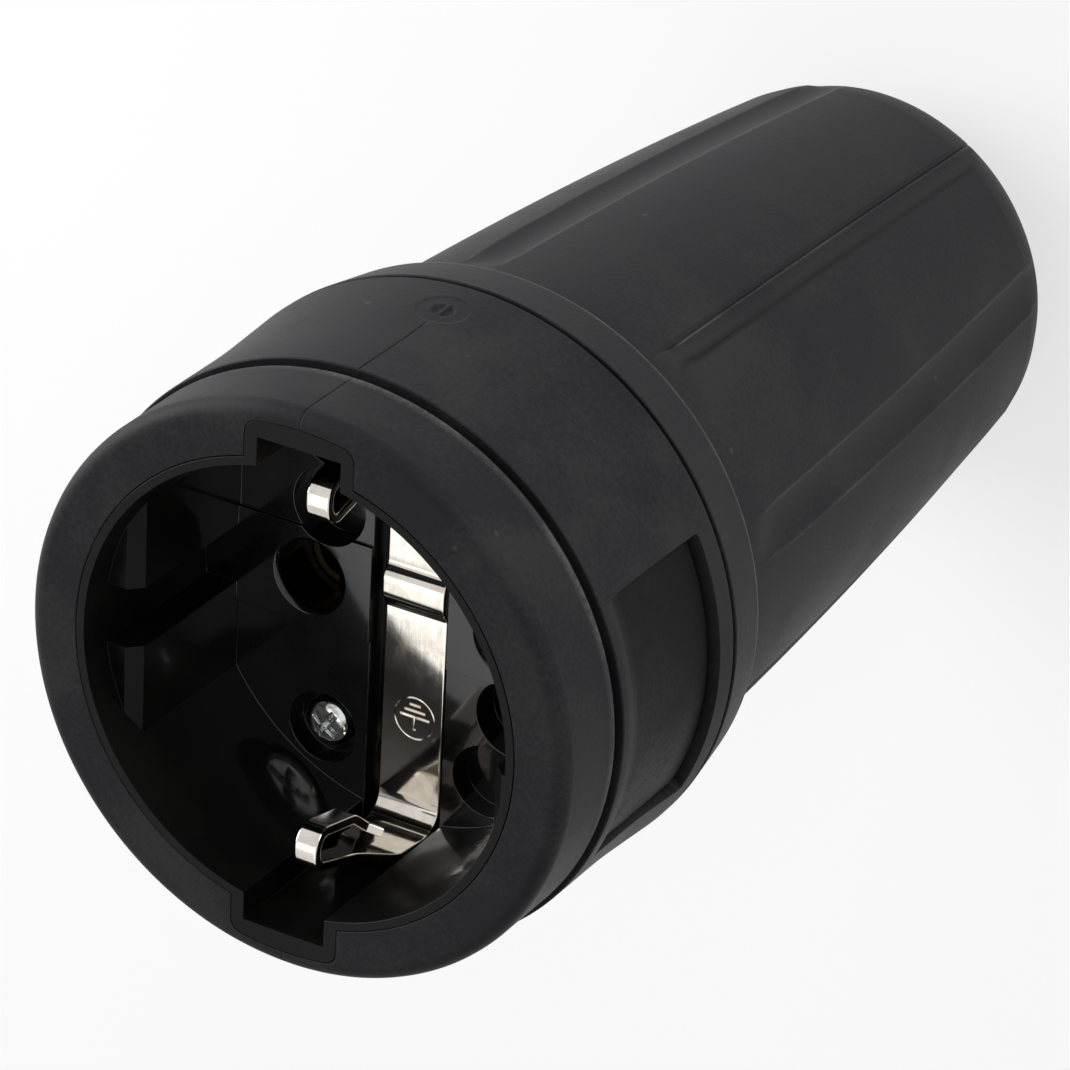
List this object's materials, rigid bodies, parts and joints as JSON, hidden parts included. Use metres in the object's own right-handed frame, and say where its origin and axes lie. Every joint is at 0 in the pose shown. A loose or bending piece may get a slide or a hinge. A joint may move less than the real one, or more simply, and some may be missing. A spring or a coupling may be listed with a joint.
{
  "type": "inline socket connector",
  "caption": "Round black rubber inline socket with a deep recess for a round-pin plug, side earth clips and a tapered fluted grip that takes the cable.",
  "frame": {"origin": "middle of the cable end of the grip, which the connector stands on", "axes": "+Z along the connector's axis towards the socket opening, X through the two pin holes, Y through the two earth clips"},
  "size_m": [0.0516, 0.0516, 0.1024],
  "materials": {
    "rubber": "matte",
    "insert_plastic": "glossy",
    "carrier_plastic": "satin",
    "nickel": "satin plated",
    "brass": "satin",
    "zinc_steel": "zinc plated"
  },
  "bodies": {
    "root": {"front_shell": "rubber", "rear_grip": "rubber", "socket_insert": "insert_plastic", "insert_screws": "zinc_steel", "earth_bracket": "nickel", "earth_rivet": "brass", "earth_terminal": "brass", "earth_terminal_screw": "zinc_steel", "earth_clamp_washer": "zinc_steel", "contact_carrier": "carrier_plastic", "live_contact": "brass", "neutral_contact": "brass", "live_contact_spring": "zinc_steel", "neutral_contact_spring": "zinc_steel", "live_terminal": "brass", "neutral_terminal": "brass", "terminal_screws": "zinc_steel", "wire_guards": "zinc_steel", "clamp_saddle": "carrier_plastic", "clamp_screws": "zinc_steel", "clamp_nuts": "zinc_steel"}
  },
  "joints": []
}
